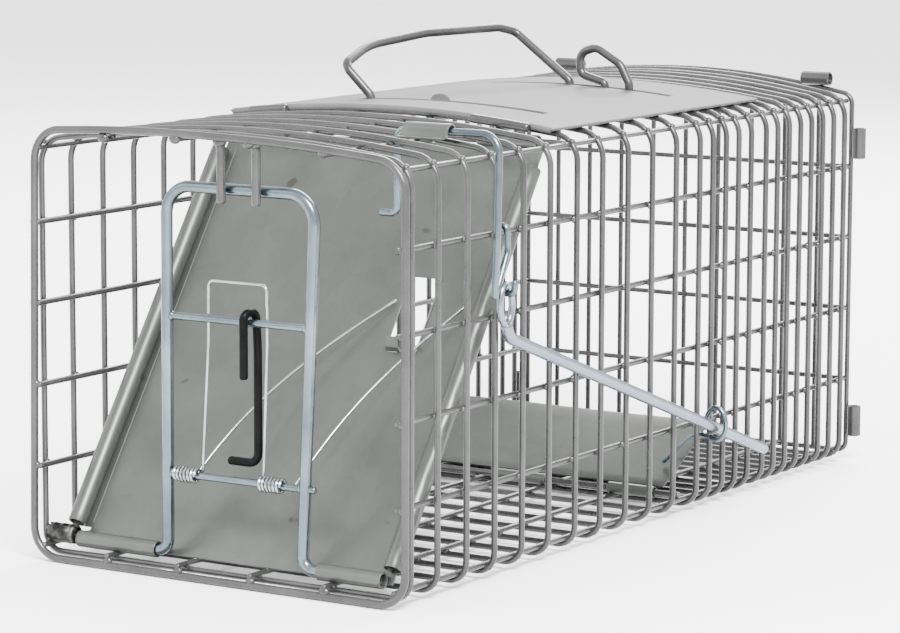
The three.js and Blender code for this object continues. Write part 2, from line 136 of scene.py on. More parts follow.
def mat_galv(name):
    mt, nt, b = new_mat(name)
    v = coords(nt)
    vor = nt.nodes.new("ShaderNodeTexVoronoi")
    vor.inputs["Scale"].default_value = 95
    nt.links.new(v, vor.inputs["Vector"])
    cells = ramp(nt, vor.outputs["Color"], [(0.2, (0.064, 0.0685, 0.064)), (0.8, (0.070, 0.0745, 0.069))])
    blot = noise(nt, v, 16, 5, 0.6)
    tint = ramp(nt, blot, [(0.3, (0.86, 0.87, 0.85)), (0.5, (1, 1, 1)), (0.72, (1.06, 1.07, 1.04))])
    col = mix(nt, cells, tint, 1.0, 'MULTIPLY')
    st = noise(nt, coords(nt, (9, 9, 0.9)), 40, 3, 0.5)
    streak = ramp(nt, st, [(0.35, (0.93, 0.93, 0.93)), (0.6, (1, 1, 1))])
    col = mix(nt, col, streak, 0.7, 'MULTIPLY')
    sp = noise(nt, v, 60, 2, 0.4)
    speck = ramp(nt, sp, [(0.0, (0.28, 0.26, 0.22)), (0.235, (0.45, 0.43, 0.38)), (0.262, (1, 1, 1))])
    col = mix(nt, col, speck, 0.8, 'MULTIPLY')
    nt.links.new(col, b.inputs["Base Color"])
    b.inputs["Metallic"].default_value = 0.65
    rough_range(nt, blot, 0.30, 0.46, b)
    bump(nt, noise(nt, v, 420, 3, 0.5), 0.10, 0.0002, b)
    return mt

def mat_metal(name, stops, rlo, rhi, scale=22, metallic=0.95, fine=700, bstr=0.08):
    mt, nt, b = new_mat(name)
    v = coords(nt)
    n = noise(nt, v, scale, 4, 0.6)
    col = ramp(nt, n, stops)
    f = noise(nt, v, fine, 3, 0.6)
    g = ramp(nt, f, [(0.3, (0.84, 0.84, 0.84)), (0.6, (1, 1, 1))])
    col = mix(nt, col, g, 0.6, 'MULTIPLY')
    nt.links.new(col, b.inputs["Base Color"])
    b.inputs["Metallic"].default_value = metallic
    rough_range(nt, f, rlo, rhi, b)
    bump(nt, f, bstr, 0.0002, b)
    return mt

WIRE = mat_paint("wire_paint", (0.037, 0.036, 0.037), (0.048, 0.047, 0.048), (0.062, 0.061, 0.062), 0.62, 0.22, 0.34, 900, 0.12)
PLATE = mat_paint("plate_paint", (0.066, 0.066, 0.067), (0.076, 0.076, 0.077), (0.088, 0.088, 0.089), 0.0, 0.50, 0.62, 500, 0.08)
PLATE.node_tree.nodes["Principled BSDF"].inputs["Specular IOR Level"].default_value = 0.12
GALV = mat_galv("galvanised_sheet")
ZINC = mat_metal("bright_zinc", [(0.3, (0.065, 0.085, 0.095)), (0.5, (0.105, 0.132, 0.145)), (0.75, (0.165, 0.198, 0.212))], 0.16, 0.30, 22, 0.95, 260, 0.05)
SPRING = mat_metal("spring_wire", [(0.3, (0.22, 0.25, 0.26)), (0.7, (0.34, 0.37, 0.37))], 0.14, 0.26, 60, 0.95, 300, 0.04)
BLUE = mat_metal("blue_zinc", [(0.28, (0.12, 0.15, 0.22)), (0.42, (0.17, 0.165, 0.235)), (0.55, (0.155, 0.205, 0.24)), (0.70, (0.20, 0.165, 0.225)), (0.85, (0.19, 0.235, 0.27))], 0.18, 0.30, 30, 0.95, 300, 0.04)
# ferrule material: mostly near-black painted shade of the mouth corner, with grey metal patches
CLIP_SHADE = mat_metal("clip_painted_shade", [(0.42, (0.006, 0.006, 0.006)), (0.52, (0.03, 0.03, 0.029)), (0.70, (0.16, 0.16, 0.15))], 0.30, 0.5, 130, 0.8)

def mat_vinyl():
    mt, nt, b = new_mat("black_vinyl")
    v = coords(nt)
    n = noise(nt, v, 120, 3)
    col = ramp(nt, n, [(0.3, (0.0015, 0.0015, 0.0015)), (0.8, (0.004, 0.004, 0.0045))])
    nt.links.new(col, b.inputs["Base Color"])
    rough_range(nt, n, 0.22, 0.38, b)
    b.inputs["Coat Weight"].default_value = 0.0
    b.inputs["Specular IOR Level"].default_value = 0.04
    b.inputs["Coat Roughness"].default_value = 0.15
    bump(nt, noise(nt, v, 260, 3), 0.12, 0.0003, b)
    return mt
VINYL = mat_vinyl()

def mat_painted_tube_shade():
    # near-black colour is painted shade for the inside of the rolled door tubes
    mt, nt, b = new_mat("tube_inside_painted_shade")
    v = coords(nt)
    n = noise(nt, v, 200, 3)
    nt.links.new(ramp(nt, n, [(0.3, (0.004, 0.004, 0.004)), (0.8, (0.012, 0.012, 0.012))]), b.inputs["Base Color"])
    rough_range(nt, n, 0.7, 0.9, b)
    return mt
TUBE_SHADE = mat_painted_tube_shade()

# ------------------------------------------------------------------ mesh helpers
class MeshBuild:
    def __init__(self):
        self.v = []; self.f = []
    def add(self, verts, faces):
        k = len(self.v)
        self.v += [tuple(p) for p in verts]
        self.f += [tuple(i + k for i in q) for q in faces]
    def obj(self, name, mat, smooth=True, angle=40):
        me = bpy.data.meshes.new(name)
        me.from_pydata([(x * MM, (y + YS) * MM, z * MM) for x, y, z in self.v], [], self.f)
        me.validate(); me.update()
        ob = bpy.data.objects.new(name, me)
        bpy.context.scene.collection.objects.link(ob)
        me.materials.append(mat)
        if smooth:
            me.polygons.foreach_set("use_smooth", [True] * len(me.polygons))
            if angle:
                me.set_sharp_from_angle(angle=angle * D)
        return ob

def rounded(points, r=8.0, n=6):
    P = [Vector(p) for p in points]
    out = [P[0]]
    for i in range(1, len(P) - 1):
        a = (P[i - 1] - P[i]); b = (P[i + 1] - P[i])
        la, lb = a.length, b.length
        a = a.normalized(); b = b.normalized()
        ang = math.acos(max(-1, min(1, a.dot(b))))
        if math.pi - ang < 0.02:
            out.append(P[i]); continue
        rr = r[i - 1] if isinstance(r, (list, tuple)) else r
        d = min(rr / math.tan(ang / 2), la * 0.48, lb * 0.48)
        rr = d * math.tan(ang / 2)
        s = P[i] + a * d; e = P[i] + b * d
        c = P[i] + (a + b).normalized() * (rr / math.sin(ang / 2))
        sv = s - c; ev = e - c
        tot = sv.angle(ev)
        for k in range(n + 1):
            t = k / n
            w = (sv * math.sin((1 - t) * tot) + ev * math.sin(t * tot)) / math.sin(tot) if tot > 1e-5 else sv
            out.append(c + w)
    out.append(P[-1])
    return out

def sweep(mb, pts, r, sides=12, closed=False, caps=True, jitter=0.0):
    P = [Vector(p) for p in pts]
    Q = [P[0]]
    for p in P[1:]:
        if (p - Q[-1]).length > 1e-4: Q.append(p)
    if closed and (Q[0] - Q[-1]).length < 1e-4: Q.pop()
    P = Q; n = len(P)
    T = []
    for i in range(n):
        if closed: t = (P[(i + 1) % n] - P[i]).normalized() + (P[i] - P[i - 1]).normalized()
        elif i == 0: t = P[1] - P[0]
        elif i == n - 1: t = P[-1] - P[-2]
        else: t = (P[i + 1] - P[i]).normalized() + (P[i] - P[i - 1]).normalized()
        T.append(t.normalized())
    up = Vector((0, 0, 1)) if abs(T[0].z) < 0.9 else Vector((0, 1, 0))
    N = (up - T[0] * up.dot(T[0])).normalized()
    frames = [N]
    for i in range(1, n):
        ax = T[i - 1].cross(T[i])
        Nn = frames[-1].copy()
        if ax.length > 1e-7:
            Nn = Matrix.Rotation(T[i - 1].angle(T[i]), 3, ax.normalized()) @ Nn
        Nn = (Nn - T[i] * Nn.dot(T[i])).normalized()
        frames.append(Nn)
    twist = 0.0
    if closed:
        ax = T[-1].cross(T[0]); Nn = frames[-1].copy()
        if ax.length > 1e-7: Nn = Matrix.Rotation(T[-1].angle(T[0]), 3, ax.normalized()) @ Nn
        twist = math.atan2(Nn.cross(frames[0]).dot(T[0]), Nn.dot(frames[0]))
    verts = []; faces = []
    rings = []
    def ring(c, Nv, Tv, rad, tw=0.0):
        B = Tv.cross(Nv); k = len(verts)
        for j in range(sides):
            a = 2 * math.pi * j / sides + tw
            verts.append(c + (Nv * math.cos(a) + B * math.sin(a)) * rad)
        rings.append(k)
    if caps and not closed:
        for q, s in ((0.35, 0.55), (0.12, 0.86)):
            ring(P[0] + T[0] * (q * r - 0.35 * r) * 1.0, frames[0], T[0], r * s) if False else None
        ring(P[0] - T[0] * 0.0, frames[0], T[0], r * 0.72)
        ring(P[0] + T[0] * 0.28 * r, frames[0], T[0], r * 0.96)
        start = 2
    for i in range(n):
        rr = r
        if isinstance(jitter, float) and jitter > 0: rr = r * (1 + rnd.uniform(-jitter, jitter))
        c = P[i]
        if caps and not closed and i == 0: c = P[0] + T[0] * 0.6 * r
        if caps and not closed and i == n - 1: c = P[-1] - T[-1] * 0.6 * r
        ring(c, frames[i], T[i], rr, twist * i / n if closed else 0)
    if caps and not closed:
        ring(P[-1] - T[-1] * 0.28 * r, frames[-1], T[-1], r * 0.96)
        ring(P[-1], frames[-1], T[-1], r * 0.72)
    m = len(rings)
    for i in range(m if closed else m - 1):
        a = rings[i]; b = rings[(i + 1) % m]
        for j in range(sides):
            k = (j + 1) % sides
            faces.append((a + j, a + k, b + k, b + j))
    if not closed:
        faces.append(tuple(rings[0] + j for j in reversed(range(sides))))
        faces.append(tuple(rings[-1] + j for j in range(sides)))
    mb.add(verts, faces)

def blob(mb, c, r, axes=(1, 1, 1), seg=8, rings_n=5):
    verts = []; faces = []
    c = Vector(c)
    verts.append(c + Vector((0, 0, r * axes[2])))
    for i in range(1, rings_n):
        th = math.pi * i / rings_n
        for j in range(seg):
            a = 2 * math.pi * j / seg
            verts.append(c + Vector((math.sin(th) * math.cos(a) * r * axes[0], math.sin(th) * math.sin(a) * r * axes[1], math.cos(th) * r * axes[2])))
    verts.append(c - Vector((0, 0, r * axes[2])))
    for j in range(seg):
        faces.append((0, 1 + j, 1 + (j + 1) % seg))
    for i in range(rings_n - 2):
        for j in range(seg):
            a = 1 + i * seg; b = a + seg; k = (j + 1) % seg
            faces.append((a + j, b + j, b + k, a + k))
    last = len(verts) - 1; a = 1 + (rings_n - 2) * seg
    for j in range(seg):
        faces.append((last, a + (j + 1) % seg, a + j))
    mb.add(verts, faces)

def tubes(name, runs, r, mat, body, sides=12, closed=False, jitter=0.0, repl=()):
    mb = MeshBuild()
    for pts in runs: sweep(mb, pts, r, sides, closed, True, jitter)
    ob = mb.obj(name, mat)
    finish_piece(ob, body, repl)
    return ob

def finish_piece(ob, body, repl=()):
    if repl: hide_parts(*repl)
    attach(ob, body)

def hollow(mb, profile_c, ro, ri, a0, a1, axis, seg=28, start=0.0, sweep_deg=360.0):
    """rolled sheet barrel round an axis: 'x', 'y', 'z' or a (direction, normal) pair"""
    c = Vector(profile_c)
    if axis == 'x': T = Vector((1, 0, 0)); N = Vector((0, 0, 1))
    elif axis == 'z': T = Vector((0, 0, 1)); N = Vector((1, 0, 0))
    elif axis == 'y': T = Vector((0, 1, 0)); N = Vector((0, 0, 1))
    else: T, N = axis
    B = T.cross(N)
    n = seg
    full = sweep_deg >= 359.9
    cnt = n if full else n + 1
    ch = min(0.25, (ro - ri) * 0.3)
    prof = [(a0 + ch, ro), (a1 - ch, ro), (a1, ro - ch), (a1, ri + ch), (a1 - ch, ri), (a0 + ch, ri), (a0, ri + ch), (a0, ro - ch)]
    verts = []
    for j in range(cnt):
        a = (start + sweep_deg * j / n) * D
        d = N * math.cos(a) + B * math.sin(a)
        for t, rad in prof: verts.append(c + T * t + d * rad)
    faces = []
    k = len(prof)
    for j in range(n):
        a = j * k; b = ((j + 1) % cnt) * k
        for i in range(k):
            q = (i + 1) % k
            faces.append((a + i, a + q, b + q, b + i))
    if not full:
        faces.append(tuple(range(k))[::-1])
        faces.append(tuple((cnt - 1) * k + i for i in range(k)))
    mb.add(verts, faces)

def add_mod(ob, kind, **kw):
    md = ob.modifiers.new(kind.lower(), kind)
    for a, b in kw.items(): setattr(md, a, b)
    return md

# ------------------------------------------------------------------ dimensions
HOOPS = [14, 35.7] + [35.7 + 23.75 * i for i in range(1, 11)] + [286.6, 300.0, 313.4, 326.8] + [343 + 12.6 * i for i in range(8)]
LEVELS = [8, 44.4, 82.3, 120.2, 157.6, 190.0]
LONGX = [-60, -20, 20, 60]
REAR_Y = 443.0
Y_RING = 7.0

def crown(x, c, half=100.0): return c * (1 - (x / half) ** 2)
def hoop_crown(y): return 6.0 if y < 352 else 6.0 + 3.0 * (y - 352) / 90.0

def hoop_path(y, hw, z0, z1, rb, rt, cr, n=7):
    pts = []
    def arc(cx, cz, r, a0, a1, k=n):
        for i in range(k + 1):
            a = (a0 + (a1 - a0) * i / k) * D
            pts.append((cx + r * math.cos(a), y, cz + r * math.sin(a)))
    arc(-hw + rb, z0 + rb, rb, 180, 270)
    arc(hw - rb, z0 + rb, rb, 270, 360)
    arc(hw - rt, z1 - rt, rt, 0, 84)
    top = []
    m = 22
    for i in range(1, m):
        x = (hw - rt - 1) * (1 - 2 * i / m)
        pts.append((x, y, z1 + crown(x, cr, hw - rt)))
    arc(-hw + rt, z1 - rt, rt, 96, 180)
    return pts

# ------------------------------------------------------------------ wire body
mb = MeshBuild()
for y in HOOPS:
    dz = rnd.uniform(-0.25, 0.25)
    sweep(mb, hoop_path(y + rnd.uniform(-0.25, 0.25), 100.9, 3.75, 196.5 + dz, 9, 12.5, hoop_crown(y)), 1.5, 10, closed=True)
hoops = mb.obj("body_hoops", WIRE)
finish_piece(hoops, "cage", ("left_wall_mesh", "right_wall_mesh"))

mb = MeshBuild()
y_end = REAR_Y - 1.2
for side in (-1, 1):
    for z in LEVELS[1:5]:
        sweep(mb, [(side * 98.3, Y_RING - 0.6, z), (side * 98.3, y_end, z)], 1.42, 10)
    sweep(mb, [(side * 96.9, Y_RING - 0.6, 192.0), (side * 96.9, y_end, 192.0)], 1.32, 10)
    sweep(mb, [(side * 96.6, Y_RING - 0.6, 7.4), (side * 96.6, y_end, 7.4)], 1.32, 10)
longs = mb.obj("side_long_wires", WIRE)
finish_piece(longs, "cage", ("roof_mesh",))
mb = MeshBuild()
for x in LONGX:
    zr = [(x, y, 196.5 + crown(x, hoop_crown(y), 88) - 2.55) for y in (Y_RING - 0.8, 60, 120, 200, 300, 352, 400, y_end)]
    sweep(mb, zr, 1.32, 10)
    sweep(mb, [(x, Y_RING - 0.8, 6.3), (x, y_end, 6.3)], 1.32, 10)
longs2 = mb.obj("roof_floor_long_wires", WIRE)
finish_piece(longs2, "cage", ("floor_mesh",))
# weld beads at the crossings
mb = MeshBuild()
for y in HOOPS:
    cr = hoop_crown(y)
    for side in (-1, 1):
        for z in LEVELS[1:5]:
            s = rnd.uniform(0.85, 1.2)
            blob(mb, (side * 99.7, y + rnd.uniform(-0.3, 0.3), z + rnd.uniform(-0.5, 0.5)), 1.75 * s, (0.8, 1.0, 1.0))
        blob(mb, (side * 98.1, y, 193.1), 1.7 * rnd.uniform(0.85, 1.15))
        blob(mb, (side * 97.9, y, 6.2), 1.7 * rnd.uniform(0.85, 1.15))
    for x in LONGX:
        blob(mb, (x + rnd.uniform(-0.3, 0.3), y, 196.5 + crown(x, cr, 88) - 1.3), 1.7 * rnd.uniform(0.8, 1.15), (1, 1, 0.8))
        blob(mb, (x, y, 5.0), 1.7 * rnd.uniform(0.8, 1.15), (1, 1, 0.8))
beads = mb.obj("weld_beads", WIRE)
finish_piece(beads, "cage")

# mouth ring
mb = MeshBuild()
ring_pts = []
for (x, y, z) in hoop_path(Y_RING, 102.5, 1.85, 198.0, 14, 15, 4.0, 10):
    u = max(0.0, -x / 102.5)
    t = z / 198.0
    ring_pts.append((x + 3.2 * u * t, y, z + 3.0 * u * t - 1.2 * (x > 0) * (x / 102.5) * t))
sweep(mb, ring_pts, 1.82, 16, closed=True)
# rough weld lumps where the long wires meet the ring
for side in (-1, 1):
    for z in LEVELS[1:5]:
        blob(mb, (side * 100.7, Y_RING + 0.4, z), 2.2 * rnd.uniform(0.9, 1.2), (0.9, 0.8, 0.9), 10, 6)
for x in LONGX:
    blob(mb, (x, Y_RING + 0.2, 198 + crown(x, 4, 87) - 1.9), 2.3 * rnd.uniform(0.9, 1.2), (1.15, 0.8, 0.9), 10, 6)
    blob(mb, (x, Y_RING + 0.2, 4.0), 2.2 * rnd.uniform(0.9, 1.2), (1.15, 0.8, 0.9), 10, 6)
ringo = mb.obj("mouth_ring", WIRE)
finish_piece(ringo, "cage", ("front_ring",))
# rear panel: wires on their own rectangular frame
mb = MeshBuild()
RZ = 196.3
fr = hoop_path(REAR_Y, 99.2, 5.2, RZ, 5, 6, 9.0)
sweep(mb, fr, 1.36, 10, closed=True)
for x in [-80 + 20 * i for i in range(9)]:
    sweep(mb, [(x, REAR_Y, 5.0), (x, REAR_Y, RZ + crown(x, 9.0, 93))], 1.32, 10)
for z in LEVELS[1:5]:
    sweep(mb, [(-99.3, REAR_Y - 2.4, z), (99.3, REAR_Y - 2.4, z)], 1.32, 10)
    for x in [-80 + 20 * i for i in range(9)]:
        blob(mb, (x, REAR_Y - 1.2, z), 1.65 * rnd.uniform(0.85, 1.15))
rear = mb.obj("rear_panel", WIRE)
finish_piece(rear, "cage", ("rear_wall_mesh",))
mb = MeshBuild()
sweep(mb, rounded([(-69.5, 441.8, 2.2), (-66, 441.8, 1.5), (66, 441.8, 1.5), (69.5, 441.8, 2.2)], 3, 3), 1.4, 10)
o = mb.obj("rear_hem", WIRE); finish_piece(o, "cage", ("rear_foot_hem",))

# catch prongs with their little weld collars
for nm, x in (("left", 3.0), ("right", 22.0)):
    mb = MeshBuild()
    sweep(mb, rounded([(x, Y_RING + 2.8, 200.6), (x, Y_RING + 3.3, 195), (x, Y_RING + 3.3, 172.2)], 4, 5), 2.05, 14)
    blob(mb, (x, Y_RING + 2.4, 199.6), 3.0, (1.2, 0.8, 0.8), 12, 7)
    o = mb.obj("prong_" + nm, WIRE); finish_piece(o, "cage", ("catch_prong_" + nm,))

# rolled clips on the rear panel
def clip(name, c, axis, L=16.0, repl=()):
    mb = MeshBuild()
    hollow(mb, c, 3.55, 2.75, -L / 2, L / 2, axis, 30, 20, 340)
    hollow(mb, c, 2.75, 0.6, -L / 2 + 1.4, L / 2 - 1.4, axis, 20)
    o = mb.obj(name, WIRE); finish_piece(o, "cage", repl)
for sx, nm in ((1, "right"), (-1, "left")):
    clip("clip_top_" + nm, (sx * 72 + (7 if sx > 0 else 0), 441.4, 203.2 if sx > 0 else 204.0), 'x', 16, ("rear_clip_top_" + nm,))
    clip("clip_upper_" + nm, (sx * 104.6, 441.4, 170), 'z', 16, ("rear_clip_%s_upper" % nm,))
    clip("clip_lower_" + nm, (sx * 104.6, 441.4, 22), 'z', 16, ("rear_clip_%s_lower" % nm,))
# ferrule in the lower left mouth corner: grey metal, with painted shade of the corner darkening most of it
mb = MeshBuild()
hollow(mb, (0, 13.7, 12.6), 4.5, 3.3, -98, -83, 'x', 32, 30, 330)
for xx in (-95.2, -90.4, -85.6):
    hollow(mb, (0, 13.7, 12.6), 4.62, 4.2, xx - 0.7, xx + 0.7, 'x', 32)
hollow(mb, (0, 13.7, 12.6), 3.2, 0.4, -97.0, -84.0, 'x', 20)
o = mb.obj("ferrule_lower_left", CLIP_SHADE); finish_piece(o, "cage", ("corner_ferrule",))

# ------------------------------------------------------------------ guard plate
PX, PY0, PY1, PZE, PCR = 91.0, 148.0, 352.0, 199.3, 6.2
SLX0, SLX1, SA, SB, SW = -40.0, 66.0, 185.0, 306.0, 6.4
def plate_z(x, y): return PZE + crown(x, PCR, 91.0)
xs = sorted(set([-91 + 182 * i / 38 for i in range(39)] + [SLX0, SLX1]))
ys = sorted(set([PY0 + (PY1 - PY0) * i / 30 for i in range(31)] + [SA - SW / 2, SA + SW / 2, SB - SW / 2, SB + SW / 2]))
vid = {}; V = []; F = []
def gv(i, j):
    if (i, j) not in vid:
        x, y = xs[i], ys[j]
        z = plate_z(x, y)
        # shallow dimple near the right edge and a soft lip along the slits
        dd = ((x - 80) / 9) ** 2 + ((y - 268) / 5) ** 2
        z -= 1.1 * math.exp(-dd)
        z += 0.5 * math.exp(-((y - SA) / 5) ** 2) * (1 if SLX0 - 4 < x < SLX1 + 4 else 0)
        z += 0.5 * math.exp(-((y - SB) / 5) ** 2) * (1 if SLX0 - 4 < x < SLX1 + 4 else 0)
        vid[(i, j)] = len(V); V.append((x, y, z))
    return vid[(i, j)]
for i in range(len(xs) - 1):
    for j in range(len(ys) - 1):
        xc = (xs[i] + xs[i + 1]) / 2; yc = (ys[j] + ys[j + 1]) / 2
        if SLX0 < xc < SLX1 and (abs(yc - SA) < SW / 2 or abs(yc - SB) < SW / 2): continue
        F.append((gv(i, j), gv(i + 1, j), gv(i + 1, j + 1), gv(i, j + 1)))
mb = MeshBuild(); mb.add(V, F)
plate = mb.obj("guard_sheet", PLATE, True, 50)
add_mod(plate, 'SOLIDIFY', thickness=0.0009, offset=-1.0)
add_mod(plate, 'BEVEL', width=0.0002, segments=2, limit_method='ANGLE')
finish_piece(plate, "cage", ("guard_plate",))
# rolled hems along the four edges
mb = MeshBuild()
hem = [(x, PY0 + 0.8, plate_z(x, 0) - 0.9) for x in [-90 + 180 * i / 30 for i in range(31)]]
sweep(mb, hem, 1.5, 10)
hem = [(x, PY1 - 0.8, plate_z(x, 0) - 0.9) for x in [-90 + 180 * i / 30 for i in range(31)]]
sweep(mb, hem, 1.1, 10)
for s in (-1, 1):
    sweep(mb, [(s * 90.4, PY0 + 0.8, PZE - 0.5), (s * 90.4, PY1 - 0.8, PZE - 0.5)], 0.8, 10)
o = mb.obj("guard_hems", PLATE); finish_piece(o, "cage")
# half-round stop tab on the front slit
mb = MeshBuild()
V = []; F = []
n = 16; R = 5.0
for k, t in enumerate((-0.5, 0.5)):
    for i in range(n + 1):
        a = math.pi * i / n
        x = 4 + R * math.cos(a)
        V.append((x, SA + SW / 2 + 0.9 + t, plate_z(4, 0) + 0.4 + 2.6 * math.sin(a)))
for i in range(n): F.append((i, i + 1, n + 1 + i + 1, n + 1 + i))
F.append(tuple(range(n + 1))); F.append(tuple(reversed(range(n + 1, 2 * n + 2)))); F.append((0, n + 1, 2 * n + 1, n))
mb.add(V, F)
o = mb.obj("slit_tab", PLATE); add_mod(o, 'BEVEL', width=0.0002, segments=2, limit_method='ANGLE'); finish_piece(o, "cage")
# fold-over clips that hold the plate to a hoop
mb = MeshBuild()
for x0, x1 in ((48, 80), (-78, -56)):
    for i in range(12):
        xa = x0 + (x1 - x0) * i / 12; xb = x0 + (x1 - x0) * (i + 1) / 12
    pts = [((x0 + (x1 - x0) * i / 12), PY0 - 2.2, plate_z(x0 + (x1 - x0) * i / 12, 0) - 1.4) for i in range(13)]
    sweep(mb, pts, 2.3, 12)
o = mb.obj("plate_front_clips", WIRE); finish_piece(o, "cage")

# ------------------------------------------------------------------ carry handle and finger loop
def smooth_path(points, n=10):
    P = [Vector(p) for p in points]
    out = []
    for i in range(len(P) - 1):
        p0 = P[max(i - 1, 0)]; p1 = P[i]; p2 = P[i + 1]; p3 = P[min(i + 2, len(P) - 1)]
        for k in range(n):
            t = k / n
            out.append(0.5 * ((2 * p1) + (-p0 + p2) * t + (2 * p0 - 5 * p1 + 4 * p2 - p3) * t * t + (-p0 + 3 * p1 - 3 * p2 + p3) * t ** 3))
    out.append(P[-1])
    return out
hp = rounded([(-33, SA, 203.8), (-34, SA, 207), (-47, 182, 221), (-49, 206, 229), (-41, 246, 233.2), (-29, 296, 233.8), (-25, SB - 0.5, 231.5), (7, SB, 208), (8, SB, 203.8)], [4, 5, 50, 60, 8, 6, 4], 9)
tubes("handle_rod", [hp], 2.25, WIRE, "carry_handle", 18, repl=("carry_handle",))
lp = rounded([(28, SB, 203.6), (28, SB, 207.5), (14, SB, 211), (13, SB, 222), (23, SB, 225), (37, SB, 217), (42, SB, 207.5), (42, SB, 203.6)], [3, 5, 6, 6, 8, 4], 9)
tubes("loop_rod", [lp], 2.15, WIRE, "finger_loop", 18, repl=("finger_loop",))

# ------------------------------------------------------------------ door
HZ, HY, TILT, L = 192.6, 148.1, 34.9 * D, 225.3
FO = 5.0                       # foot barrels' centre in front of the sheet
ct, st = math.cos(TILT), math.sin(TILT)
def dw(x, y, z):
    """door coordinates (z down the sheet, -y to the front) to trap coordinates"""
    return (x, HY + y * ct + z * st, HZ - y * st + z * ct)
# cross profile: rolled tube, flat sheet, rolled tube
prof = []
rr = 3.9
for i in range(27):
    a = (-240 + 330 * i / 26) * D
    prof.append((-88 + rr * math.cos(a), -3.9 + rr * math.sin(a)))
prof = [p for p in prof]
left = []
for i in range(27):
    a = (90 + 325 - 325 * i / 26)
    left.append((-88 + rr * math.cos(a * D), -3.9 + rr * math.sin(a * D)))
flatx = [-82, -74, -60, -45, -31, -15, 0, 15, 30, 42, 50, 58.5, 66, 76, 82]
right = [(-x, y) for x, y in reversed(left)]
profile = left + [(x, 0.0) for x in flatx] + right
zs = sorted(set([-L + 0.2, -L + 6, -L + 12] + [-L + 20 + 14.0 * i for i in range(13)] + [-L + 8, -113.1, -74, -16, -8, -3.4]))
V = []; F = []; idx = {}
def ok_cell(pa, pb, z0, z1):
    xm = (pa[0] + pb[0]) / 2; zm = (z0 + z1) / 2
    if 42 < xm < 58.5 and abs(pa[1]) < 1e-6 and abs(pb[1]) < 1e-6 and -113.1 < zm < -74: return False
    if (zm < -L + 6 or zm > -16) and (abs(pa[1]) > 1e-6 or abs(pb[1]) > 1e-6) and abs(xm) > 83: return False
    if zm < -L + 8 and xm < -82.2: return False
    return True
def dvert(i, j):
    if (i, j) not in idx:
        x, y = profile[i]; z = zs[j]
        yy = y
        if abs(x) < 80: yy += 0.2 * math.sin(x * 0.031 + 0.7) * math.sin(z * 0.02)
        idx[(i, j)] = len(V); V.append(dw(x, yy, z))
    return idx[(i, j)]
for i in range(len(profile) - 1):
    for j in range(len(zs) - 1):
        if ok_cell(profile[i], profile[i + 1], zs[j], zs[j + 1]):
            F.append((dvert(i, j), dvert(i + 1, j), dvert(i + 1, j + 1), dvert(i, j + 1)))
mb = MeshBuild(); mb.add(V, F)
door = mb.obj("door_sheet", GALV, True, 60)
add_mod(door, 'SOLIDIFY', thickness=0.0008, offset=0.0)
add_mod(door, 'BEVEL', width=0.00018, segments=2, limit_method='ANGLE')
finish_piece(door, "door", ("door",))
T_d = Vector((0, st, ct)); N_d = Vector((0, -ct, st))
mb = MeshBuild()
# dark plug just inside the rolled tubes' open ends: painted shade of the tube interiors
for s in (-1, 1):
    c = Vector(dw(s * 88, -3.9, -L + 9.5))
    hollow(mb, c, 3.45, 0.2, 0, 3, (T_d, N_d), 24)
o = mb.obj("tube_shadow_plugs", TUBE_SHADE); finish_piece(o, "door")
mb = MeshBuild()
for a, b in ((-84, -50), (-20, 24), (52, 84)):
    hollow(mb, (0, HY, HZ), 3.5, 2.4, a, b, 'x', 36, 0, 360)
o = mb.obj("door_hinge_barrels", GALV); finish_piece(o, "door")
PYv, PZv = dw(0, -FO, -L)[1:]
mb = MeshBuild()
for a, b in ((-82, -37), (52, 86)):
    hollow(mb, (0, PYv, PZv), 3.85, 2.95, a, b, 'x', 40, 0, 360)
    # tongue from the sheet into the barrel
    V = []; F = []
    x0, x1 = a + 1, b - 1
    P4 = [(0.4, -L + 3.1), (-FO + 0.5, -L + 3.1), (-FO + 0.5, -L + 3.85), (0.4, -L + 3.85)]
    for x in (x0, x1):
        for (yy, zz) in P4: V.append(dw(x, yy, zz))
    F = [(0, 1, 2, 3), (7, 6, 5, 4), (0, 4, 5, 1), (1, 5, 6, 2), (2, 6, 7, 3), (3, 7, 4, 0)]
    mb.add(V, F)
o = mb.obj("foot_barrels", GALV); finish_piece(o, "door")
# lanced tab at the window's lower edge and folded edge
mb = MeshBuild()
V = []; F = []
for k, x in enumerate((43.2, 50.0)):
    for (yy, zz) in ((-0.4, -113.1), (-3.4, -112.1), (-5.6, -108.6), (-6.2, -108.0), (-3.8, -111.1), (0.4, -112.1)):
        V.append(dw(x, yy, zz))
n = 6
for i in range(n): F.append((i, (i + 1) % n, n + (i + 1) % n, n + i))
F.append(tuple(reversed(range(n)))); F.append(tuple(range(n, 2 * n)))
mb.add(V, F)
o = mb.obj("window_tab", GALV, False); add_mod(o, 'BEVEL', width=0.0002, segments=2, limit_method='ANGLE'); finish_piece(o, "door")
mb = MeshBuild()
for s_ in (-1, 1):
    sweep(mb, [dw(s_ * 81.8, -0.15, -L + 10), dw(s_ * 81.8, -0.15, -10)], 0.5, 8)
sweep(mb, [dw(42, -0.5, -74), dw(58.5, -0.5, -74)], 0.5, 8)
sweep(mb, [dw(58.5, -0.5, -74), dw(58.5, -0.5, -113)], 0.5, 8)
o = mb.obj("sheet_creases", GALV); finish_piece(o, "door")
tubes("door_hinge_wire", [[(-98, HY, HZ), (98, HY, HZ)]], 1.85, WIRE, "cage", 14, repl=("door_hinge_rod",))

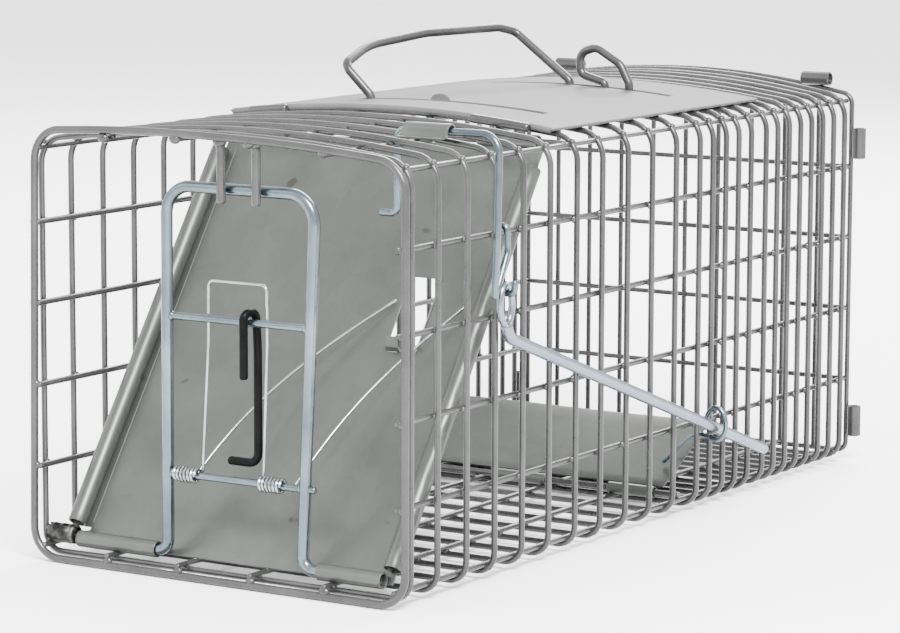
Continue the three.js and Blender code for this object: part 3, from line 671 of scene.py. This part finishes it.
# ------------------------------------------------------------------ lock bar, spring, hook
TOPY, TOPZ = 15.6, 178.0
XL, XRB, XRT = -31.0, 43.0, 50.0
def by(z): return PYv + (TOPY - PYv) * (z - PZv) / (TOPZ - PZv)
def legx(z): return XRB + (XRT - XRB) * (z - PZv) / (TOPZ - PZv)
UB, LBz = 119.0, 47.0
bail = rounded([(-80, PYv, PZv), (XL, PYv, PZv), (XL, by(TOPZ), TOPZ), (XRT, by(TOPZ), TOPZ), (XRB, PYv, PZv), (84, PYv, PZv)], [6, 13, 13, 6], 12)
tubes("bail_rod", [bail], 2.7, ZINC, "lock_bar", 20, repl=("lock_bar",))
tubes("bar_upper", [[(XL + 1.2, by(UB), UB), (legx(UB) - 1.2, by(UB), UB)]], 1.7, ZINC, "lock_bar", 16, repl=("upper_cross_bar",))
tubes("bar_lower", [[(XL + 1.2, by(LBz), LBz), (legx(LBz) + 5.5, by(LBz) - 0.1, LBz)]], 1.7, ZINC, "lock_bar", 16, repl=("lower_cross_bar",))
mb = MeshBuild()
for (x, z) in ((XL, UB), (legx(UB), UB), (XL, LBz), (legx(LBz), LBz)):
    s = 1 if x < 0 else -1
    blob(mb, (x + s * 2.4, by(z), z), 2.3, (0.9, 0.95, 0.95), 12, 8)
o = mb.obj("bar_welds", ZINC); finish_piece(o, "lock_bar")
def helix(x0, x1, turns, r, yc, zc, ph=0.0, n=22):
    pts = []
    N = int(turns * n)
    for i in range(N + 1):
        a = ph + 2 * math.pi * i / n
        pts.append((x0 + (x1 - x0) * i / N, yc + r * math.cos(a), zc + r * math.sin(a)))
    return pts
ly = by(LBz)
c1 = helix(-26.6, -14.4, 6.5, 3.0, ly, LBz)
c2 = helix(20.4, 32.6, 6.5, 3.0, ly, LBz)
tubes("coil_left", [c1], 0.68, SPRING, "lock_bar", 8, repl=("spring_coil_left",))
tubes("coil_right", [c2], 0.68, SPRING, "lock_bar", 8, repl=("spring_coil_right",))
uy = by(UB) + 1.7 + 1.0
loop = rounded([(-13.8, ly + 3.0, LBz), (-10, uy, UB - 10), (-10, uy, UB + 17), (22, uy, UB + 17), (22, uy, UB - 10), (19.8, ly + 3.0, LBz)], [20, 3, 3, 20], 8)
tubes("spring_loop", [loop], 0.68, SPRING, "lock_bar", 10, repl=("spring_center_loop",))
def arm_pts(x0, x1):
    y0, z0 = ly + 3.5, LBz - 3.1
    zE = 122.0
    yD = HY - (HZ - zE) * st / ct - 3.4
    pts = []
    for i in range(25):
        t = i / 24
        pts.append((x0 + (x1 - x0) * (0.75 * t + 0.25 * t * t - 0.12 * math.sin(math.pi * t)), y0 + (yD - y0) * t, z0 + (zE - z0) * t))
    return pts
tubes("arm_left", [arm_pts(-20, 40)], 0.68, SPRING, "spring_arms", 10, repl=("spring_arm_left",))
tubes("arm_right", [arm_pts(34, 77.5)], 0.68, SPRING, "spring_arms", 10, repl=("spring_arm_right",))
hy = by(UB)
hook = rounded([(14, hy - 4.1, UB - 25), (14, hy - 4.1, UB + 4.6), (15, hy + 4.1, UB + 4.6), (16, hy + 4.0, UB - 14), (16, hy + 4.1, LBz + 8), (0, hy + 4.2, LBz + 8)], [3.4, 3.4, 8, 5.0], 10)
tubes("hook_rod", [hook], 1.95, VINYL, "release_hook", 18, repl=("release_hook",))

# ------------------------------------------------------------------ crank, bracket, link, lever
cy, cz = 73.0, 203.4
mb = MeshBuild()
# saddle strap: half barrel over the rod, with feet
V = []; F = []
sec = []
for i in range(15):
    a = (200 - 220 * i / 14) * D
    sec.append((3.2 * math.cos(a), 3.2 * math.sin(a)))
sec = [(-9.5, -2.6), (-4.2, -2.6)] + sec[1:-1] + [(4.2, -2.6), (9.5, -2.6)]
for x in [60 + 24 * i / 6 for i in range(7)]:
    for (dy, dz) in sec:
        V.append((x, cy + dy, cz + dz - crown(0, 0)))
k = len(sec)
for i in range(6):
    for j in range(k - 1): F.append((i * k + j, i * k + j + 1, (i + 1) * k + j + 1, (i + 1) * k + j))
mb.add(V, F)
strap = mb.obj("crank_strap", GALV)
add_mod(strap, 'SOLIDIFY', thickness=0.0008, offset=0.0)
add_mod(strap, 'BEVEL', width=0.00015, segments=2, limit_method='ANGLE')
finish_piece(strap, "cage", ("crank_bracket",))
crank = rounded([(46, cy, cz - 38.2), (55.2, cy, cz - 38.2), (55.2, cy, cz), (109, cy, cz), (109, cy - 2.0, cz - 52), (109, cy - 3.5, cz - 72.4)], [3.5, 5, 9, 20], 10)
tubes("crank_rod", [crank], 1.75, ZINC, "trigger_crank", 16, repl=("trigger_crank",))
lx, lyy, lz, L4 = 109.0, 79.0, 127.0, 157.6
link = rounded([(96.9, lyy + 9, L4 - 2.5), (96.9, lyy + 9, L4 + 3.6), (103.9, lyy + 9, L4 + 3.6), (103.9, lyy + 9.5, L4 - 8), (104.2, lyy, lz + 5.2), (113.6, lyy, lz + 5.2), (113.6, lyy, lz + 11)], [2.6, 2.6, 8, 4, 3], 9)
tubes("link_rod", [link], 1.5, ZINC, "cage", 14, repl=("hanger_link",))
mb = MeshBuild()
eye = []
for i in range(40):
    a = 2 * math.pi * i / 40
    eye.append((lx, lyy + 5.0 * math.cos(a), lz + 8.8 * math.sin(a)))
sweep(mb, eye, 1.62, 16, closed=True)
lev = rounded([(lx, lyy - 0.2, lz - 8.4), (lx, lyy + 2.5, lz - 15), (lx, lyy + 251, lz - 103)], 9, 12)
sweep(mb, lev, 2.85, 20)
o = mb.obj("lever_rod", BLUE); finish_piece(o, "trip_lever", ("trip_lever",))

# ------------------------------------------------------------------ treadle
TY, TZ, TT = 261.5, 10.0, 28.0 * D
def tw(x, y, z):
    return (x, TY + y * math.cos(TT) - z * math.sin(TT), TZ + y * math.sin(TT) + z * math.cos(TT))
xs = [-90 + 178 * i / 24 for i in range(25)]
sec = [(2.6, 1.9), (8, 1.95), (20, 1.9), (34, 1.9), (48, 1.9), (55, 1.9), (57.2, 1.7), (57.8, 0.4)]
V = []; F = []
for x in xs:
    for (yy, zz) in sec:
        V.append(tw(x, yy, zz + 0.25 * math.sin(x * 0.05) * math.sin(yy * 0.08)))
k = len(sec)
for i in range(len(xs) - 1):
    for j in range(k - 1): F.append((i * k + j, (i + 1) * k + j, (i + 1) * k + j + 1, i * k + j + 1))
mb = MeshBuild(); mb.add(V, F)
tr = mb.obj("treadle_sheet", GALV, True, 50)
add_mod(tr, 'SOLIDIFY', thickness=0.0009, offset=0.0)
add_mod(tr, 'BEVEL', width=0.00015, segments=2, limit_method='ANGLE')
finish_piece(tr, "treadle", ("treadle",))
mb = MeshBuild()
for a, b in ((-86, -60), (-8, 22), (58, 84)):
    hollow(mb, (0, TY, TZ), 2.95, 2.1, a, b, 'x', 32)
o = mb.obj("treadle_barrels", GALV); finish_piece(o, "treadle")
tubes("treadle_hinge_wire", [[(-98, TY, TZ), (98, TY, TZ)]], 1.6, WIRE, "cage", 12, repl=("treadle_hinge_rod",))
ry, rz = 278.0, 44.4
pts = [(80, 277, 22.7), (89, 277.4, 31), (98, 277.8, 37.8)]
for i in range(44):
    a = (235 + 330 * i / 43) * D
    pts.append((lx + 5.6 * math.cos(a), ry, rz + 8.0 * math.sin(a)))
mbp = [Vector(p) for p in pts]
tubes("ring_wire", [smooth_path(pts[:4], 5)[:-1] + mbp[3:]], 1.2, ZINC, "treadle", 12, repl=("treadle_ring",))

# ------------------------------------------------------------------ studio
me = bpy.data.meshes.new("floor")
S = 6.0
me.from_pydata([(-S, -S, 0), (S, -S, 0), (S, S, 0), (-S, S, 0)], [], [(0, 1, 2, 3)])
floor = bpy.data.objects.new("floor", me)
floor.location = (0, 0, -0.0002)
bpy.context.scene.collection.objects.link(floor)
fm, nt, b = new_mat("floor_white")
v = coords(nt)
nt.links.new(ramp(nt, noise(nt, v, 3, 2), [(0.3, (0.90, 0.90, 0.90)), (0.7, (0.92, 0.92, 0.92))]), b.inputs["Base Color"])
b.inputs["Roughness"].default_value = 0.9
me.materials.append(fm)
w = bpy.data.worlds.new("studio"); bpy.context.scene.world = w
w.use_nodes = True
bg = w.node_tree.nodes["Background"]
bg.inputs["Color"].default_value = (1.0, 1.0, 1.0, 1)
bg.inputs["Strength"].default_value = 3.0
def area(name, loc, target, size, power):
    l = bpy.data.lights.new(name, 'AREA'); l.shape = 'RECTANGLE'; l.size = size[0]; l.size_y = size[1]; l.energy = power
    o = bpy.data.objects.new(name, l)
    o.location = loc
    d = Vector(target) - Vector(loc)
    o.rotation_euler = d.to_track_quat('-Z', 'Y').to_euler()
    bpy.context.scene.collection.objects.link(o)
area("key", (1.1, -0.9, 1.6), (0, 0.2, 0.1), (0.8, 0.7), 190)
area("fill", (-1.5, -0.9, 0.9), (0, 0.2, 0.1), (1.4, 1.2), 16)
area("back", (-0.3, 1.8, 1.4), (0, 0.2, 0.1), (1.6, 1.0), 120)

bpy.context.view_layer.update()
